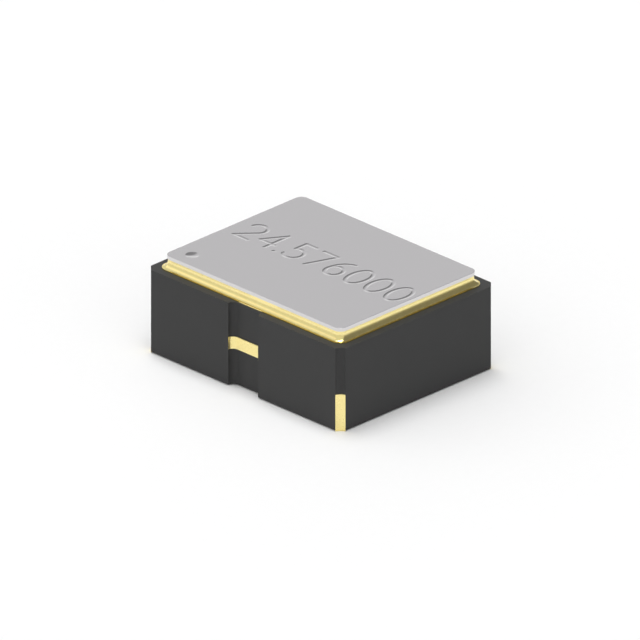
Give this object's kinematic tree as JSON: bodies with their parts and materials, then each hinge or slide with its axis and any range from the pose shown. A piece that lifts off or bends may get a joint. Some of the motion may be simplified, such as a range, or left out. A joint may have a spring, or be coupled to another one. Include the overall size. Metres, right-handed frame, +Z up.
{
  "type": "crystal oscillator",
  "caption": "Small rectangular surface-mount crystal oscillator: dark ceramic base with corner grooves, gold solder lands, gold seal ring and a flat metal lid.",
  "frame": {"origin": "bottom centre, on the plane of the four solder lands", "axes": "+X along the long side, +Y along the short side, +Z up out of the board; pin 1 at the -X -Y corner"},
  "size_m": [0.0024, 0.002, 0.001],
  "materials": {
    "alumina": "matte dark co-fired alumina",
    "terminal_gold": "gold plate over nickel",
    "seal_gold": "gold plate over nickel, drawn by brazing",
    "lid_nickel": "nickel-plated sealing alloy, satin",
    "quartz": "lapped quartz",
    "electrode_silver": "evaporated silver film",
    "silver_adhesive": "silver-filled adhesive",
    "silicon": "polished silicon",
    "bond_aluminium": "sputtered aluminium",
    "wire_gold": "drawn gold wire",
    "tungsten": "co-fired tungsten"
  },
  "bodies": {
    "root": {"ceramic_base": "alumina", "terminal_enable": "terminal_gold", "terminal_ground": "terminal_gold", "terminal_output": "terminal_gold", "terminal_supply": "terminal_gold", "test_pad_front": "terminal_gold", "test_pad_rear": "terminal_gold", "seal_metallisation": "seal_gold", "braze_fillet": "seal_gold", "seal_ring": "seal_gold", "lid": "lid_nickel", "quartz_blank": "quartz", "electrode_top": "electrode_silver", "electrode_bottom": "electrode_silver", "adhesive_drop_front": "silver_adhesive", "adhesive_drop_rear": "silver_adhesive", "crystal_pad_front": "terminal_gold", "crystal_pad_rear": "terminal_gold", "oscillator_die": "silicon", "die_adhesive": "silver_adhesive", "die_paddle": "terminal_gold", "die_bond_pads": "bond_aluminium", "bond_fingers": "terminal_gold", "bond_wire_enable": "wire_gold", "bond_wire_crystal_in": "wire_gold", "bond_wire_crystal_out": "wire_gold", "bond_wire_supply": "wire_gold", "bond_wire_ground": "wire_gold", "bond_wire_output": "wire_gold", "crystal_lead_front": "tungsten", "crystal_lead_rear": "tungsten", "terminal_vias": "tungsten"}
  },
  "joints": []
}
